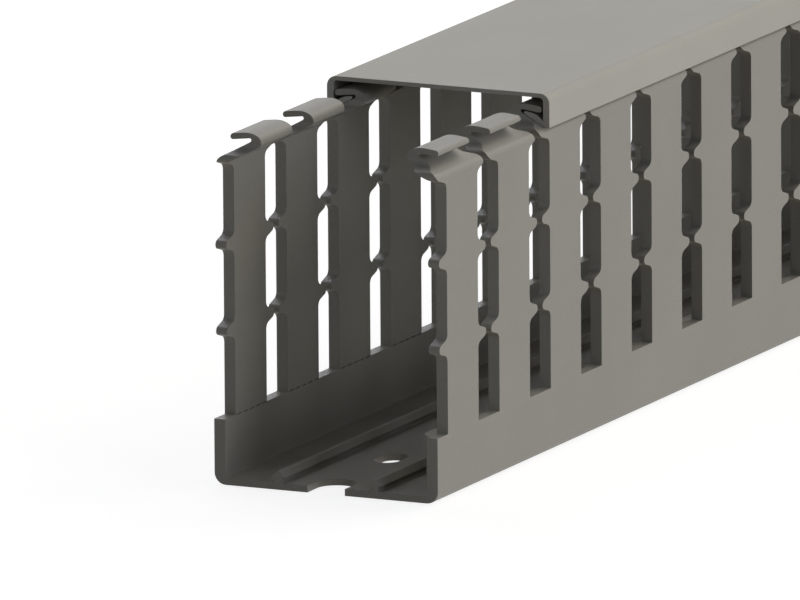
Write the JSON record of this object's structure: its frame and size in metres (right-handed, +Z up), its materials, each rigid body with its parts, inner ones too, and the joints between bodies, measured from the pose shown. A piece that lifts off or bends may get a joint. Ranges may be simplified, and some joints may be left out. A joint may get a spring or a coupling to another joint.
{
  "type": "slotted wire duct",
  "caption": "Open slotted wire duct with rounded-tooth side slots, perforated base and a hooked clip-fit cover slid partly back.",
  "frame": {"origin": "middle of the duct's underside, halfway along it and on its centreline", "axes": "+Y along the duct away from the front end that the cover leaves open, +X to the right seen from that end, +Z up"},
  "size_m": [0.0406, 0.5441, 0.0605],
  "materials": {
    "duct_plastic": "matte stone-grey rigid PVC",
    "cover_plastic": "matte stone-grey rigid PVC"
  },
  "bodies": {
    "duct": {"duct_body": "duct_plastic"},
    "lid": {"cover": "cover_plastic"}
  },
  "joints": [
    {"name": "cover_slide", "type": "slide", "parent": "duct", "child": "lid", "axis": [0, 1, 0], "range_m": [-0.04405, 0.4]}
  ]
}
